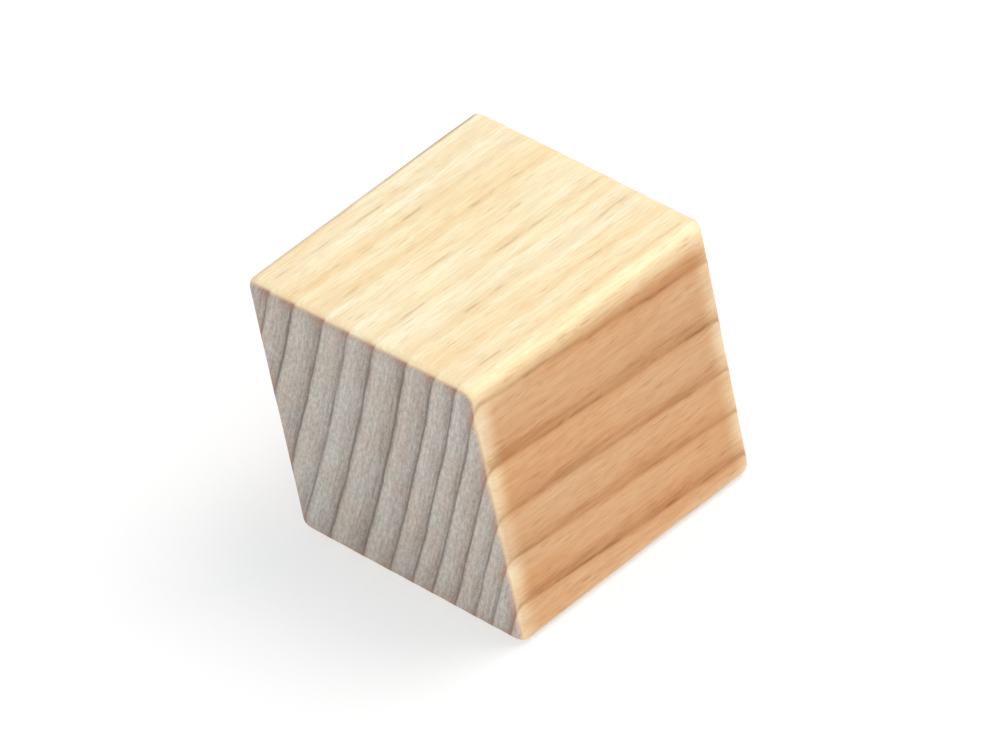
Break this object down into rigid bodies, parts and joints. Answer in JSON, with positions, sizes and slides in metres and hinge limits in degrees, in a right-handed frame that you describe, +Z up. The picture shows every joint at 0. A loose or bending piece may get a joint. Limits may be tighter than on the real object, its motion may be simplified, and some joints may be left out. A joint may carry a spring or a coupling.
{
  "type": "wooden cube",
  "caption": "Solid beech cube with rounded long edges and sanded, eased ends, for building, stacking and craft work.",
  "frame": {"origin": "centre of the underside, on the surface that the cube stands on", "axes": "+Z up; X along the grain, so the two X faces are the sawn end-grain faces; Y across the grain"},
  "size_m": [0.03, 0.03, 0.03],
  "materials": {
    "beech": "raw planed and sanded beech, unvarnished, with end grain on the X faces"
  },
  "bodies": {
    "root": {"wooden_cube": "beech"}
  },
  "joints": []
}
